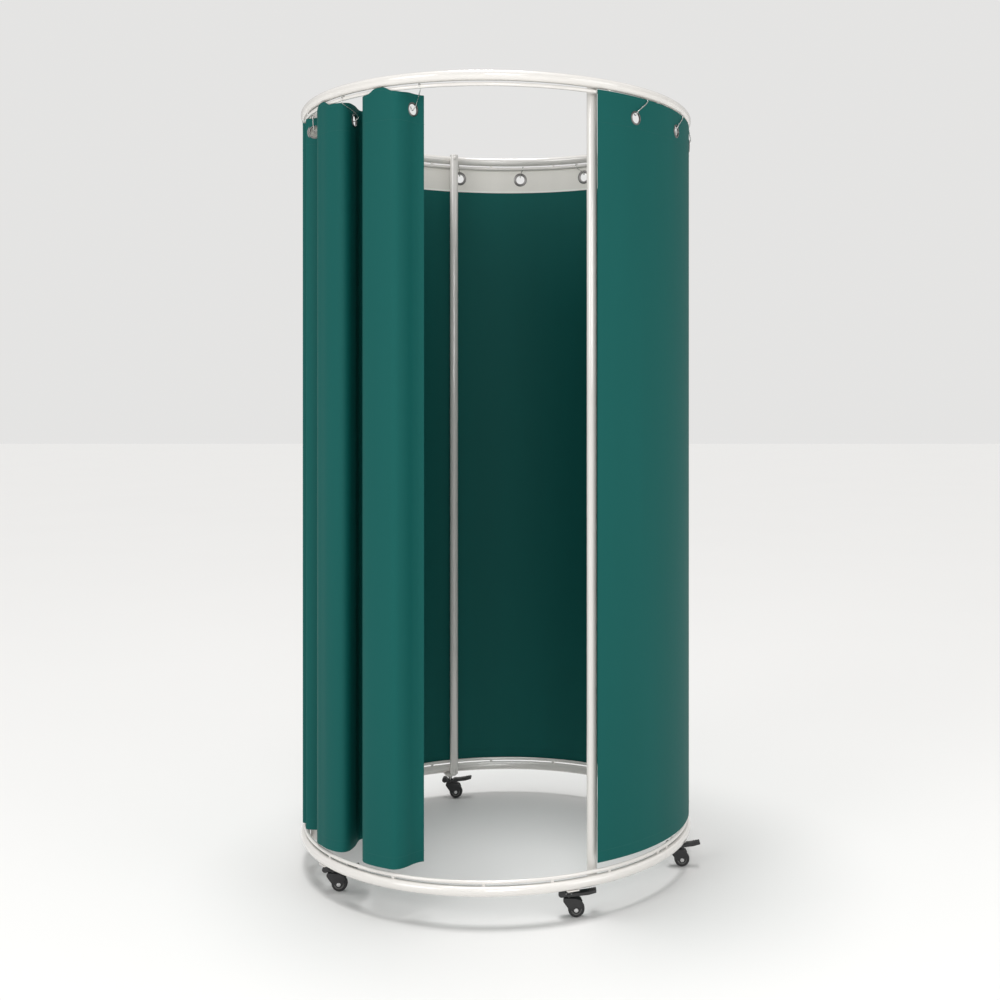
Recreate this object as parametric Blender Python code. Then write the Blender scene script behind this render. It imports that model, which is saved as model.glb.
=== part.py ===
"""A round welding curtain booth: two ring frames on six braked casters, four posts, and an
opaque curtain hung outside a rail, fixed round the back and drawn open at the doorway.

Angles are measured about the booth's vertical axis from the front (-Y) toward the right (+X).
"""

import math

import bmesh
import bpy
from mathutils import Matrix, Vector

# Frame.
RING_RADIUS = 0.515
TUBE_RADIUS = 0.0125
BOTTOM_RING_Z = 0.085
TOP_RING_Z = 1.9875
RAIL_RADIUS = 0.0045
RAIL_OFFSET = 0.021
RING_JOINTS = (57.0, 237.0)
RING_STEPS = 40
RING_SIDES = 12
RAIL_SIDES = 6
BRACE_WIDTH = 0.008
BRACE_DEPTH = 0.004
BRACE_BITE = 0.0015
BACK_BRACES = (59.5, 79.0, 100.0, 121.0, 142.0, 164.0, 186.0, 207.0, 228.0, 234.5)
FRONT_BRACES = (242.5, 250.0, 271.0, 284.5, 395.0, 414.5)
DOORWAY_BRACES = (310.0, 335.0, 360.0, 378.0)
GAP = 0.0003

# Posts and their bolts.
POST_ANGLES = (("front_right", 31.2), ("back_right", 115.4), ("back_left", 199.8), ("front_left", 284.5))
POST_SIDES = 16
POST_CLEARANCE = 0.001
POST_CIRCLE = RING_RADIUS - 2.0 * TUBE_RADIUS - POST_CLEARANCE
BOLT_RADIUS = 0.003
BOLT_HOLE_RADIUS = 0.0034
BOLT_HEAD_RADIUS = 0.0055
BOLT_HEAD_HEIGHT = 0.0032
BOLT_LENGTH = 0.009
BOLT_HOLE_DEPTH = 0.010
BOLT_SIDES = 12

# Curtain.
CLOTH_RADIUS = 0.522
CLOTH_HALF = 0.0015
CLOTH_TOP_Z = 1.9655
DOOR_TOP_Z = 1.9605
HEM_Z = 0.120
FIXED_START = 30.7
FIXED_END = 282.5
FIXED_PANELS = 5
PANEL_STEPS = 10
EYELET_Z = 1.925
EYELET_HOLE_RADIUS = 0.013
FOLD_SHIFT = 0.010
FOLD_SPACING = 0.012
CLOTH_SPLIT = 0.0003

# Plan of the gathered doorway curtain: angle, and radius as a share of the ring's.
ROOT_FOLD = ((-77.45, 1.0035), (-76.0, 1.0035), (-74.6, 1.0035), (-73.9, 0.985), (-73.3, 0.93),
             (-72.6, 0.85), (-71.5, 0.82))
SECTION_C_FOLD = ((-71.5, 0.82), (-70.6, 0.88), (-70.0, 0.97), (-69.3, 0.998), (-68.3, 0.99),
                  (-67.1, 0.961), (-65.0, 0.89), (-63.0, 0.84))
SECTION_B_FOLD = ((-63.0, 0.84), (-60.5, 0.90), (-58.0, 0.985), (-56.0, 1.0035), (-53.5, 1.0035),
                  (-50.5, 1.0035), (-47.8, 0.996), (-45.6, 0.982), (-44.7, 0.963), (-44.69, 0.938),
                  (-45.4, 0.915), (-46.33, 0.893), (-47.3, 0.874), (-49.34, 0.845), (-51.02, 0.817),
                  (-50.65, 0.792), (-46.5, 0.79))
SECTION_A_FOLD = ((-46.5, 0.79), (-42.6, 0.835), (-39.4, 0.905), (-36.8, 0.965), (-35.0, 0.992),
                  (-33.0, 1.001), (-30.0, 1.0035), (-27.0, 1.0035), (-25.0, 1.0025), (-23.8, 0.992),
                  (-22.9, 0.969), (-22.3, 0.942), (-21.8, 0.907), (-20.9, 0.874), (-19.8, 0.855))
EYELET_POINTS = {"c": (-67.1, 0.961), "b": (-46.33, 0.893), "a": (-21.8, 0.907)}
HOOK_ANGLES = {"c": -65.3, "b": -43.2, "a": -17.2}
OUTER_HOOK = "b"
HOOK_WIRE_RADIUS = 0.0012
HOOK_BEND_RADIUS = 0.0065
HOOK_BEND_ANGLES = (-20.0, 2.0, 24.0, 46.0, 68.0, 90.0, 112.0, 134.0, 156.0, 178.0, 200.0)
HOOK_REACH = 0.0048

# Casters.
CASTER_ANGLES = (("front_right", 23.7), ("right", 75.7), ("back_right", 137.0), ("back_left", 201.1),
                 ("left", 255.0), ("front_left", 306.4))
CASTER_CIRCLE = 0.492
TAB_THICKNESS = 0.003
TAB_INNER = -0.013
TAB_OUTER = 0.030
TAB_HALF_WIDTH = 0.015
TAB_TOP_Z = BOTTOM_RING_Z - TUBE_RADIUS - GAP
NUT_RADIUS = 0.0065
NUT_HEIGHT = 0.006
STEM_RADIUS = 0.0050
PIN_RADIUS = 0.0040
PIN_HOLE_RADIUS = 0.0044
PIN_BOTTOM_Z = 0.0430
STEM_SHOULDER_Z = 0.0480
FORK_TOP_Z = 0.0475
FORK_HALF_WIDTH = 0.0135
SLOT_HALF_WIDTH = 0.0098
SLOT_TOP_Z = 0.0425
FORK_PROFILE = ((-0.012, 0.038), (-0.004, 0.029), (0.012, 0.0120), (0.024, 0.0120), (0.031, 0.022),
                (0.034, 0.035), (0.016, FORK_TOP_Z), (-0.012, FORK_TOP_Z))
TRAIL = 0.018
HUB_Z = 0.020
WHEEL_SIDES = 24
WHEEL_HALF_WIDTH = 0.0088
WHEEL_CHAMFER = 0.0020
AXLE_RADIUS = 0.0030
AXLE_BORE_RADIUS = 0.0034
AXLE_HEAD_RADIUS = 0.0052
AXLE_HEAD_HEIGHT = 0.0014
AXLE_SIDES = 12
PEDAL_PROFILE = ((-0.022, 0.0530), (0.030, 0.0530), (0.050, 0.0555), (0.066, 0.0605), (0.066, 0.0665),
                 (0.050, 0.0640), (0.030, 0.0600), (-0.022, 0.0600))
PEDAL_HALF_WIDTH = 0.012
PEDAL_OPENING = 0.0078
PEDAL_PIVOT_Z = 0.0565


def clear_scene():
    for obj in list(bpy.data.objects):
        bpy.data.objects.remove(obj, do_unlink=True)


def new_collection(name, helper):
    collection = bpy.data.collections.new(name)
    bpy.context.scene.collection.children.link(collection)
    collection.hide_render = helper
    return collection


def new_material(name, color, metallic, roughness):
    material = bpy.data.materials.new(name)
    material.use_nodes = True
    shader = material.node_tree.nodes["Principled BSDF"]
    shader.inputs["Base Color"].default_value = (*color, 1.0)
    shader.inputs["Metallic"].default_value = metallic
    shader.inputs["Roughness"].default_value = roughness
    return material


def polar(radius, angle, z=0.0):
    a = math.radians(angle)
    return Vector((radius * math.sin(a), -radius * math.cos(a), z))


def outward(angle):
    return polar(1.0, angle)


def mesh_from(name, points, faces):
    mesh = bpy.data.meshes.new(name)
    mesh.from_pydata([tuple(p) for p in points], [], faces)
    solid = bmesh.new()
    solid.from_mesh(mesh)
    bmesh.ops.recalc_face_normals(solid, faces=solid.faces)
    solid.to_mesh(mesh)
    solid.free()
    return mesh


def place(name, mesh, collection, material=None, location=(0.0, 0.0, 0.0), turn=0.0):
    obj = bpy.data.objects.new(name, mesh)
    obj.location = location
    obj.rotation_euler = (0.0, 0.0, math.radians(turn))
    collection.objects.link(obj)
    if material and not mesh.materials:
        mesh.materials.append(material)
    return obj


def helper(mesh):
    obj = place(mesh.name, mesh, HELPERS)
    obj.display_type = "WIRE"
    return obj


def combine(obj, other, operation):
    modifier = obj.modifiers.new(other.name, "BOOLEAN")
    modifier.operation = operation
    modifier.solver = "EXACT"
    modifier.object = other
    return obj


def baked(obj, name):
    """The object's evaluated mesh, for copies to share."""
    bpy.context.view_layer.update()
    graph = bpy.context.evaluated_depsgraph_get()
    mesh = bpy.data.meshes.new_from_object(obj.evaluated_get(graph))
    mesh.name = name
    bpy.data.objects.remove(obj, do_unlink=True)
    return mesh


def loft(sections, cyclic=False):
    """Points and faces of a skin through equal rings of points, capped at the ends unless cyclic."""
    count = len(sections[0])
    points = [p for ring in sections for p in ring]
    faces = []
    spans = len(sections) if cyclic else len(sections) - 1
    for i in range(spans):
        a = i * count
        b = ((i + 1) % len(sections)) * count
        for j in range(count):
            k = (j + 1) % count
            faces.append((a + j, a + k, b + k, b + j))
    if not cyclic:
        faces.append(tuple(range(count)))
        faces.append(tuple(range(len(points) - count, len(points))))
    return points, faces


def circle(radius, sides, phase=0.0):
    return [(radius * math.cos(phase + math.tau * i / sides), radius * math.sin(phase + math.tau * i / sides))
            for i in range(sides)]


def arc_tube(name, z, tube_radius, sides, start, end):
    """A tube bent to the ring's radius, with its ends cut square to the arc."""
    sections = []
    for i in range(RING_STEPS + 1):
        angle = start + (end - start) * i / RING_STEPS
        sections.append([polar(RING_RADIUS + u, angle, z + v) for u, v in circle(tube_radius, sides, math.pi / sides)])
    return mesh_from(name, *loft(sections))


def block(name, low, high):
    xs, ys, zs = zip(low, high)
    points = [(x, y, z) for z in zs for y in ys for x in xs]
    faces = [(0, 1, 3, 2), (4, 5, 7, 6), (0, 1, 5, 4), (2, 3, 7, 6), (0, 2, 6, 4), (1, 3, 7, 5)]
    return mesh_from(name, points, faces)


def turned(name, profile, sides, phase=0.0):
    """A solid turned about Z from (radius, height) points; a first and last radius of 0 close it."""
    sections = []
    for radius, height in profile:
        sections.append([(x, y, height) for x, y in circle(radius, sides, phase)])
    return mesh_from(name, *loft(sections))


def prism(name, profile, half_width):
    """An (x, z) profile carried along Y to both sides."""
    sections = [[(x, y, z) for x, z in profile] for y in (-half_width, half_width)]
    return mesh_from(name, *loft(sections))


def turned_across(mesh, direction):
    """Turns a mesh made about Z so that it lies along a horizontal direction."""
    turn = Vector(direction).to_track_quat("Z", "Y").to_matrix().to_4x4()
    mesh.transform(turn)
    return mesh


def make_ring(name, z, rail_side, braces, start, end):
    """One half of a ring: the bent tube, its rail, and the small welded braces between them."""
    trim = math.degrees(GAP / 2.0 / (RING_RADIUS - TUBE_RADIUS))
    start = start + trim
    end = end - trim
    ring = place(name, arc_tube(name, z, TUBE_RADIUS, RING_SIDES, start, end), BOOTH, POWDER_COAT)
    rail_z = z + rail_side * RAIL_OFFSET
    combine(ring, helper(arc_tube(name + "_rail", rail_z, RAIL_RADIUS, RAIL_SIDES, start, end)), "UNION")
    near = z + rail_side * (TUBE_RADIUS - BRACE_BITE)
    far = rail_z - rail_side * (RAIL_RADIUS - BRACE_BITE)
    low = min(near, far)
    high = max(near, far)
    for angle in braces:
        brace = block(f"{name}_brace", (-BRACE_WIDTH / 2, -BRACE_DEPTH / 2, low), (BRACE_WIDTH / 2, BRACE_DEPTH / 2, high))
        holder = helper(brace)
        holder.location = polar(RING_RADIUS, angle)
        holder.rotation_euler = (0.0, 0.0, math.radians(angle))
        combine(ring, holder, "UNION")


def make_rings():
    back_start, back_end = RING_JOINTS
    front_start = back_end
    front_end = back_start + 360.0
    make_ring("top_ring_back", TOP_RING_Z, -1.0, BACK_BRACES, back_start, back_end)
    make_ring("top_ring_front", TOP_RING_Z, -1.0, FRONT_BRACES, front_start, front_end)
    make_ring("bottom_ring_back", BOTTOM_RING_Z, 1.0, BACK_BRACES, back_start, back_end)
    make_ring("bottom_ring_front", BOTTOM_RING_Z, 1.0, FRONT_BRACES + DOORWAY_BRACES, front_start, front_end)


def make_posts():
    """Four upright tubes inside the rings, bolted through to them at both ends."""
    low = BOTTOM_RING_Z - TUBE_RADIUS
    high = TOP_RING_Z + TUBE_RADIUS
    flat = TUBE_RADIUS * math.cos(math.pi / POST_SIDES)
    bore = turned("post_bolt_hole", ((BOLT_HOLE_RADIUS, -BOLT_HOLE_DEPTH), (BOLT_HOLE_RADIUS, BOLT_HOLE_DEPTH)),
                  BOLT_SIDES)
    bolt_profile = ((BOLT_RADIUS, -BOLT_LENGTH), (BOLT_RADIUS, GAP), (BOLT_HEAD_RADIUS, GAP),
                    (BOLT_HEAD_RADIUS, GAP + BOLT_HEAD_HEIGHT * 0.55), (BOLT_HEAD_RADIUS * 0.6, GAP + BOLT_HEAD_HEIGHT))
    bolt = turned_across(turned("post_bolt", bolt_profile, BOLT_SIDES), (0.0, 1.0, 0.0))
    turned_across(bore, (0.0, 1.0, 0.0))
    tube = turned("post", ((TUBE_RADIUS, low), (TUBE_RADIUS, high)), POST_SIDES, math.pi / POST_SIDES)
    for label, angle in POST_ANGLES:
        post = place("post_" + label, tube.copy(), BOOTH, POWDER_COAT, polar(POST_CIRCLE, angle), angle)
        for end_name, z in (("bottom", BOTTOM_RING_Z), ("top", TOP_RING_Z)):
            seat = polar(POST_CIRCLE - flat, angle, z)
            hole = place(f"bore_{label}_{end_name}", bore, HELPERS, None, seat, angle)
            hole.display_type = "WIRE"
            combine(post, hole, "DIFFERENCE")
            place(f"post_bolt_{label}_{end_name}", bolt, BOOTH, ZINC, seat, angle)


def wall(name, path, ends, low, high):
    """A sheet standing on a plan path, with each end cut square to the given direction."""
    sections = []
    directions = [ends[0]] + [after - before for before, after in zip(path, path[2:])] + [ends[1]]
    for point, direction in zip(path, directions):
        along = direction.normalized()
        side = Vector((along.y, -along.x, 0.0)) * CLOTH_HALF
        inner = point - side
        outer = point + side
        sections.append([(inner.x, inner.y, low), (outer.x, outer.y, low), (outer.x, outer.y, high), (inner.x, inner.y, high)])
    return mesh_from(name, *loft(sections))


def make_fixed_curtain():
    """The taut curtain round the right and the back, in the lengths it is drawn in here."""
    step = (FIXED_END - FIXED_START) / FIXED_PANELS
    trim = math.degrees(GAP / 2.0 / CLOTH_RADIUS)
    for number in range(FIXED_PANELS):
        start = FIXED_START + number * step + trim
        span = step - 2.0 * trim
        sections = []
        for i in range(PANEL_STEPS + 1):
            angle = start + span * i / PANEL_STEPS
            inner = CLOTH_RADIUS - CLOTH_HALF
            outer = CLOTH_RADIUS + CLOTH_HALF
            sections.append([polar(inner, angle, HEM_Z), polar(outer, angle, HEM_Z), polar(outer, angle, CLOTH_TOP_Z),
                             polar(inner, angle, CLOTH_TOP_Z)])
        name = f"curtain_fixed_{number + 1}"
        place(name, mesh_from(name, *loft(sections)), BOOTH, CURTAIN)


def smooth_path(points, pieces):
    """A Catmull-Rom curve through the points, with so many pieces between each two."""
    ends = [points[0] * 2.0 - points[1]] + list(points) + [points[-1] * 2.0 - points[-2]]
    path = []
    for i in range(1, len(ends) - 2):
        p0, p1, p2, p3 = ends[i - 1:i + 3]
        for j in range(pieces):
            t = j / pieces
            path.append(0.5 * ((2.0 * p1) + (p2 - p0) * t + (2.0 * p0 - 5.0 * p1 + 4.0 * p2 - p3) * t * t
                               + (3.0 * p1 - p0 - 3.0 * p2 + p3) * t * t * t))
    path.append(points[-1].copy())
    return path


def even_path(path, spacing, trim):
    """The same path in equal steps, cut back a little at both ends."""
    lengths = [0.0]
    for a, b in zip(path, path[1:]):
        lengths.append(lengths[-1] + (b - a).length)
    start = trim
    end = lengths[-1] - trim
    count = max(2, round((end - start) / spacing))
    result = []
    k = 0
    for i in range(count + 1):
        want = start + (end - start) * i / count
        while k < len(path) - 2 and lengths[k + 1] < want:
            k += 1
        share = (want - lengths[k]) / (lengths[k + 1] - lengths[k])
        result.append(path[k].lerp(path[k + 1], share))
    return result


def fold_point(angle, share, z=0.0):
    return polar((share + FOLD_SHIFT) * RING_RADIUS, angle, z)


def make_door_curtain():
    """The gathered curtain beside the doorway: a fixed edge, then three sections that draw across."""
    folds = {"curtain_door_root": ROOT_FOLD, "curtain_door_c": SECTION_C_FOLD, "curtain_door_b": SECTION_B_FOLD,
             "curtain_door_a": SECTION_A_FOLD}
    pieces = 8
    whole = []
    for fold in folds.values():
        whole += list(fold) if not whole else list(fold)[1:]
    path = smooth_path([fold_point(*p) for p in whole], pieces)
    first = 0
    sections = {}
    for name, fold in folds.items():
        last = first + (len(fold) - 1) * pieces
        part = even_path(path[first:last + 1], FOLD_SPACING, CLOTH_SPLIT)
        ends = [path[min(k + 1, len(path) - 1)] - path[max(k - 1, 0)] for k in (first, last)]
        sections[name] = place(name, wall(name, part, ends, HEM_Z, DOOR_TOP_Z), BOOTH, CURTAIN)
        first = last
    for letter, at in EYELET_POINTS.items():
        index = whole.index(at) * pieces
        along = (path[index + 1] - path[index - 1]).normalized()
        make_hook(letter, sections["curtain_door_" + letter], path[index], Vector((along.y, -along.x, 0.0)))


def make_hook(letter, section, at, facing):
    """A wire hook over the rail and through the section's eyelet hole, which it cuts."""
    eyelet = Vector((at.x, at.y, EYELET_Z))
    angle = HOOK_ANGLES[letter]
    rail = polar(RING_RADIUS, angle, TOP_RING_Z - RAIL_OFFSET)
    bends = HOOK_BEND_ANGLES
    if letter == OUTER_HOOK:
        bends = bends[::-1]
    elif facing.dot(rail - eyelet) < 0.0:
        facing = -facing
    hole = turned("eyelet_hole", ((EYELET_HOLE_RADIUS, -0.006), (EYELET_HOLE_RADIUS, 0.006)), AXLE_SIDES)
    cutter = place("eyelet_" + letter, turned_across(hole, facing), HELPERS, None, eyelet)
    cutter.display_type = "WIRE"
    combine(section, cutter, "DIFFERENCE")
    up = Vector((0.0, 0.0, 1.0))
    points = []
    for bend in bends:
        a = math.radians(bend)
        points.append(rail + HOOK_BEND_RADIUS * (outward(angle) * math.cos(a) + up * math.sin(a)))
    if letter == OUTER_HOOK:
        points.append(rail + outward(angle) * 0.0063 - up * 0.009)
    points.append(eyelet + facing * HOOK_REACH * 2.2 + up * 0.010)
    points.append(eyelet + facing * HOOK_REACH + up * 0.002)
    points.append(eyelet - up * 0.002)
    points.append(eyelet - facing * HOOK_REACH + up * 0.002)
    points.append(eyelet - facing * HOOK_REACH + up * 0.008)
    wire = bpy.data.curves.new("hook", "CURVE")
    wire.dimensions = "3D"
    wire.bevel_depth = HOOK_WIRE_RADIUS
    wire.bevel_resolution = 1
    wire.use_fill_caps = True
    spline = wire.splines.new("POLY")
    spline.points.add(len(points) - 1)
    for point, place_at in zip(spline.points, points):
        point.co = (*place_at, 1.0)
    curve = bpy.data.objects.new("hook_curve", wire)
    HELPERS.objects.link(curve)
    mesh = baked(curve, "hook_" + letter)
    solid = bmesh.new()
    solid.from_mesh(mesh)
    bmesh.ops.remove_doubles(solid, verts=solid.verts, dist=0.00001)
    bmesh.ops.recalc_face_normals(solid, faces=solid.faces)
    solid.to_mesh(mesh)
    solid.free()
    place("curtain_hook_" + letter, mesh, BOOTH, ZINC)


def caster_mount_mesh():
    """The welded tab with the swivel stem under it and the nut that clamps the stem."""
    tab = place("tab", block("tab", (-TAB_HALF_WIDTH, -TAB_OUTER, TAB_TOP_Z - TAB_THICKNESS),
                             (TAB_HALF_WIDTH, -TAB_INNER, TAB_TOP_Z)), HELPERS)
    nut_top = TAB_TOP_Z - TAB_THICKNESS / 2.0
    profile = ((PIN_RADIUS, PIN_BOTTOM_Z), (PIN_RADIUS, STEM_SHOULDER_Z), (STEM_RADIUS, STEM_SHOULDER_Z),
               (STEM_RADIUS, nut_top - NUT_HEIGHT), (NUT_RADIUS, nut_top - NUT_HEIGHT), (NUT_RADIUS, nut_top))
    combine(tab, helper(turned("stem", profile, AXLE_SIDES)), "UNION")
    return baked(tab, "caster_mount")


def fork_mesh():
    """The moulded fork: two cheeks and a bridge, bored for the stem and for the axle."""
    fork = place("fork", prism("fork", FORK_PROFILE, FORK_HALF_WIDTH), HELPERS)
    slot = block("fork_slot", (-0.03, -SLOT_HALF_WIDTH, -0.01), (0.06, SLOT_HALF_WIDTH, SLOT_TOP_Z))
    combine(fork, helper(slot), "DIFFERENCE")
    bore = turned("fork_pin_bore", ((PIN_HOLE_RADIUS, 0.035), (PIN_HOLE_RADIUS, 0.055)), AXLE_SIDES)
    combine(fork, helper(bore), "DIFFERENCE")
    across = turned_across(turned("fork_axle_bore", ((AXLE_BORE_RADIUS, -0.02), (AXLE_BORE_RADIUS, 0.02)), AXLE_SIDES),
                           (0.0, 1.0, 0.0))
    across.transform(Matrix.Translation((TRAIL, 0.0, HUB_Z)))
    combine(fork, helper(across), "DIFFERENCE")
    return baked(fork, "caster_fork")


def wheel_mesh():
    """The wheel: its treads are flats, and one of them lies on the floor."""
    tread = HUB_Z / math.cos(math.pi / WHEEL_SIDES)
    shoulder = tread - WHEEL_CHAMFER
    half = WHEEL_HALF_WIDTH
    profile = ((AXLE_BORE_RADIUS, -half), (shoulder, -half), (tread, -half + WHEEL_CHAMFER),
               (tread, half - WHEEL_CHAMFER), (shoulder, half), (AXLE_BORE_RADIUS, half))
    rings = [[(x, y, h) for x, y in circle(r, WHEEL_SIDES, math.pi / WHEEL_SIDES)] for r, h in profile]
    mesh = mesh_from("caster_wheel", *loft(rings, cyclic=True))
    return turned_across(mesh, (0.0, 1.0, 0.0))


def axle_mesh():
    half = FORK_HALF_WIDTH + GAP
    end = half + AXLE_HEAD_HEIGHT
    profile = ((AXLE_HEAD_RADIUS, -end), (AXLE_HEAD_RADIUS, -half), (AXLE_RADIUS, -half), (AXLE_RADIUS, half),
               (AXLE_HEAD_RADIUS, half), (AXLE_HEAD_RADIUS, end))
    return turned_across(turned("caster_axle", profile, AXLE_SIDES), (0.0, 1.0, 0.0))


def pedal_mesh():
    """The rocking brake lever, open in the middle for the stem."""
    profile = [(x, z - PEDAL_PIVOT_Z) for x, z in PEDAL_PROFILE]
    pedal = place("pedal", prism("pedal", profile, PEDAL_HALF_WIDTH), HELPERS)
    opening = block("pedal_opening", (-PEDAL_OPENING, -PEDAL_OPENING, -0.02), (PEDAL_OPENING, PEDAL_OPENING, 0.02))
    combine(pedal, helper(opening), "DIFFERENCE")
    return baked(pedal, "caster_pedal")


def make_casters():
    mount = caster_mount_mesh()
    fork = fork_mesh()
    wheel = wheel_mesh()
    axle = axle_mesh()
    pedal = pedal_mesh()
    for label, angle in CASTER_ANGLES:
        stem = polar(CASTER_CIRCLE, angle)
        hub = stem + Vector((TRAIL, 0.0, HUB_Z))
        place(f"caster_{label}_mount", mount, BOOTH, ZINC, stem, angle)
        place(f"caster_{label}_fork", fork, BOOTH, BLACK_PLASTIC, stem)
        place(f"caster_{label}_wheel", wheel, BOOTH, RUBBER, hub)
        place(f"caster_{label}_axle", axle, BOOTH, ZINC_AXLE, hub)
        place(f"caster_{label}_pedal", pedal, BOOTH, BLACK_PEDAL, stem + Vector((0.0, 0.0, PEDAL_PIVOT_Z)))


clear_scene()
BOOTH = new_collection("welding_curtain_screen", False)
HELPERS = new_collection("cutters", True)
POWDER_COAT = new_material("powder_coat", (0.81, 0.78, 0.74), 0.0, 0.45)
CURTAIN = new_material("curtain", (0.012, 0.105, 0.092), 0.0, 0.75)
ZINC = new_material("zinc", (0.62, 0.62, 0.60), 1.0, 0.35)
ZINC_AXLE = new_material("axle_steel", (0.58, 0.58, 0.58), 1.0, 0.30)
BLACK_PLASTIC = new_material("black_plastic", (0.02, 0.02, 0.021), 0.0, 0.5)
BLACK_PEDAL = new_material("pedal_plastic", (0.025, 0.025, 0.026), 0.0, 0.45)
RUBBER = new_material("wheel_rubber", (0.03, 0.03, 0.032), 0.0, 0.8)
make_rings()
make_posts()
make_fixed_curtain()
make_door_curtain()
make_casters()
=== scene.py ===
# %% [markdown]
# # A round welding curtain booth
# Two rings of bent tube, four posts, six braked casters and an opaque curtain on wire hooks.
# Curtains like this keep the glare of welding inside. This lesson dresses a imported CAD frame:
# smooth tubes replace the faceted ones, and real cloth replaces the stiff stand-in sheets.
# Every length is in metres. Angles run about the booth's upright axis, from the front (-Y)
# toward the right (+X), because everything round here is easiest to place that way.

import math

import bmesh
import bpy
import numpy as np
from mathutils import Matrix, Vector


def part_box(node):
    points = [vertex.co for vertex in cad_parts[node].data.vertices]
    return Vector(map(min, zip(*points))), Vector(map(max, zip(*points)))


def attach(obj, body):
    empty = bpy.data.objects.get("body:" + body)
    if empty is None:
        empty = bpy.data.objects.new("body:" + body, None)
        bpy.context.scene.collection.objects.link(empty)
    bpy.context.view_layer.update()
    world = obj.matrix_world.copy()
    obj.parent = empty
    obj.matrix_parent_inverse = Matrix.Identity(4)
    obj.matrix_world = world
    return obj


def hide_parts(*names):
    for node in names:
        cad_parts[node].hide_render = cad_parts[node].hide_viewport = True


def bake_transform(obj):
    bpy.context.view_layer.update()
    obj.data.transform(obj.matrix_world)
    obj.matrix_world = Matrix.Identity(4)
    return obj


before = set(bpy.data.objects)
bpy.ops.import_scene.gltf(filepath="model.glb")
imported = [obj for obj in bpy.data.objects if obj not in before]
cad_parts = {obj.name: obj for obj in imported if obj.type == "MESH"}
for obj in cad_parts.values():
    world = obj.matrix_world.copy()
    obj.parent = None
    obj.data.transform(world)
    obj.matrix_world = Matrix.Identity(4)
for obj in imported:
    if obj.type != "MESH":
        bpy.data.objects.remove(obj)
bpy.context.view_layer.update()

# %% [markdown]
# ## Sizes
# Every height that the CAD settles is read back from the frame, so the looks can't drift from
# it. The tube, the rail, the ring and the curtain's circle are the CAD's own round numbers.

# %% Read the sizes
TUBE = 0.0125
RING = 0.515
RAIL = 0.0045
RAIL_DROP = 0.021
CLOTH_R = 0.522
EYELET_Z = 1.925
TAPE_LOW = 1.891
POST_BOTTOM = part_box("post_front_right")[0][2]
POST_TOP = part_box("post_front_right")[1][2]
TOP_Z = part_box("top_ring_front")[1][2] - TUBE
BOTTOM_Z = POST_BOTTOM + TUBE
RAIL_Z = TOP_Z - RAIL_DROP
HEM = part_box("curtain_fixed_1")[0][2]
CLOTH_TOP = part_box("curtain_fixed_1")[1][2]
DOOR_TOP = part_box("curtain_door_a")[1][2]
print("rings at", round(BOTTOM_Z, 4), round(TOP_Z, 4), "cloth", round(HEM, 4), round(CLOTH_TOP, 4))


def polar(radius, angle, z=0.0):
    """The point at an angle from the front, turning toward the right."""
    a = math.radians(angle)
    return Vector((radius * math.sin(a), -radius * math.cos(a), z))


# %% [markdown]
# ## Camera, floor and light
# The camera stands level at eye height a little to the right of the doorway. It is built
# first, so that every piece after it can be judged in view.

# %% Camera
eye = bpy.data.cameras.new("eye")
eye.lens = 44.8
eye.shift_x = -0.0772
eye.shift_y = -0.0909
camera = bpy.data.objects.new("camera", eye)
camera.location = (0.218, -3.4145, 1.2085)
camera.rotation_euler = (math.pi / 2.0, 0.0, 0.0)
bpy.context.scene.collection.objects.link(camera)
bpy.context.scene.camera = camera
print("camera", tuple(round(v, 3) for v in camera.location))

# %% [markdown]
# A big pale floor and a pale sky wrap the booth in even light, as a bright studio does. The
# backdrop is shown a little brighter than the light it gives, as a lit studio wall would be. A
# soft ceiling light shines straight down through the open top and lights the floor inside.
# One broad lamp on the left gives the folds their shape, a weaker one fills from the right,
# and one in front looks in at the doorway.

# %% Sky and lamps
scene = bpy.context.scene
scene.view_settings.view_transform = "Standard"
sky = bpy.data.worlds.new("studio")
sky.use_nodes = True
backdrop = sky.node_tree.nodes["Background"]
backdrop.inputs["Color"].default_value = (1.0, 0.995, 0.985, 1.0)
seen = sky.node_tree.nodes.new("ShaderNodeLightPath")
shades = sky.node_tree.nodes.new("ShaderNodeMapRange")
shades.inputs["To Min"].default_value = 0.49
shades.inputs["To Max"].default_value = 0.78
sky.node_tree.links.new(seen.outputs["Is Camera Ray"], shades.inputs["Value"])
sky.node_tree.links.new(shades.outputs["Result"], backdrop.inputs["Strength"])
scene.world = sky


def lamp(name, place, aim, size, power):
    light = bpy.data.lights.new(name, "AREA")
    light.shape = "DISK"
    light.size = size
    light.energy = power
    obj = bpy.data.objects.new(name, light)
    obj.location = place
    obj.rotation_euler = (Vector(aim) - Vector(place)).to_track_quat("-Z", "Y").to_euler()
    scene.collection.objects.link(obj)
    return obj


key = lamp("key_lamp", (-4.2, -4.6, 3.4), (0.0, 0.0, 1.0), 3.2, 98.0)
fill = lamp("fill_lamp", (4.5, -3.0, 2.6), (0.0, 0.0, 1.0), 3.0, 45.0)
door_light = lamp("door_light", (0.5, -4.6, 2.3), (0.0, 0.5, 0.9), 1.6, 40.0)
ceiling = bpy.data.lights.new("ceiling_light", "SUN")
ceiling.energy = 2.05
ceiling.angle = math.radians(24.0)
overhead = bpy.data.objects.new("ceiling_light", ceiling)
overhead.location = (0.0, 0.0, 4.0)
overhead.rotation_euler = (math.radians(-3.0), math.radians(-3.0), 0.0)
scene.collection.objects.link(overhead)
print("lamps", *(round(light.data.energy, 2) for light in (key, fill, door_light, overhead)))

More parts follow.
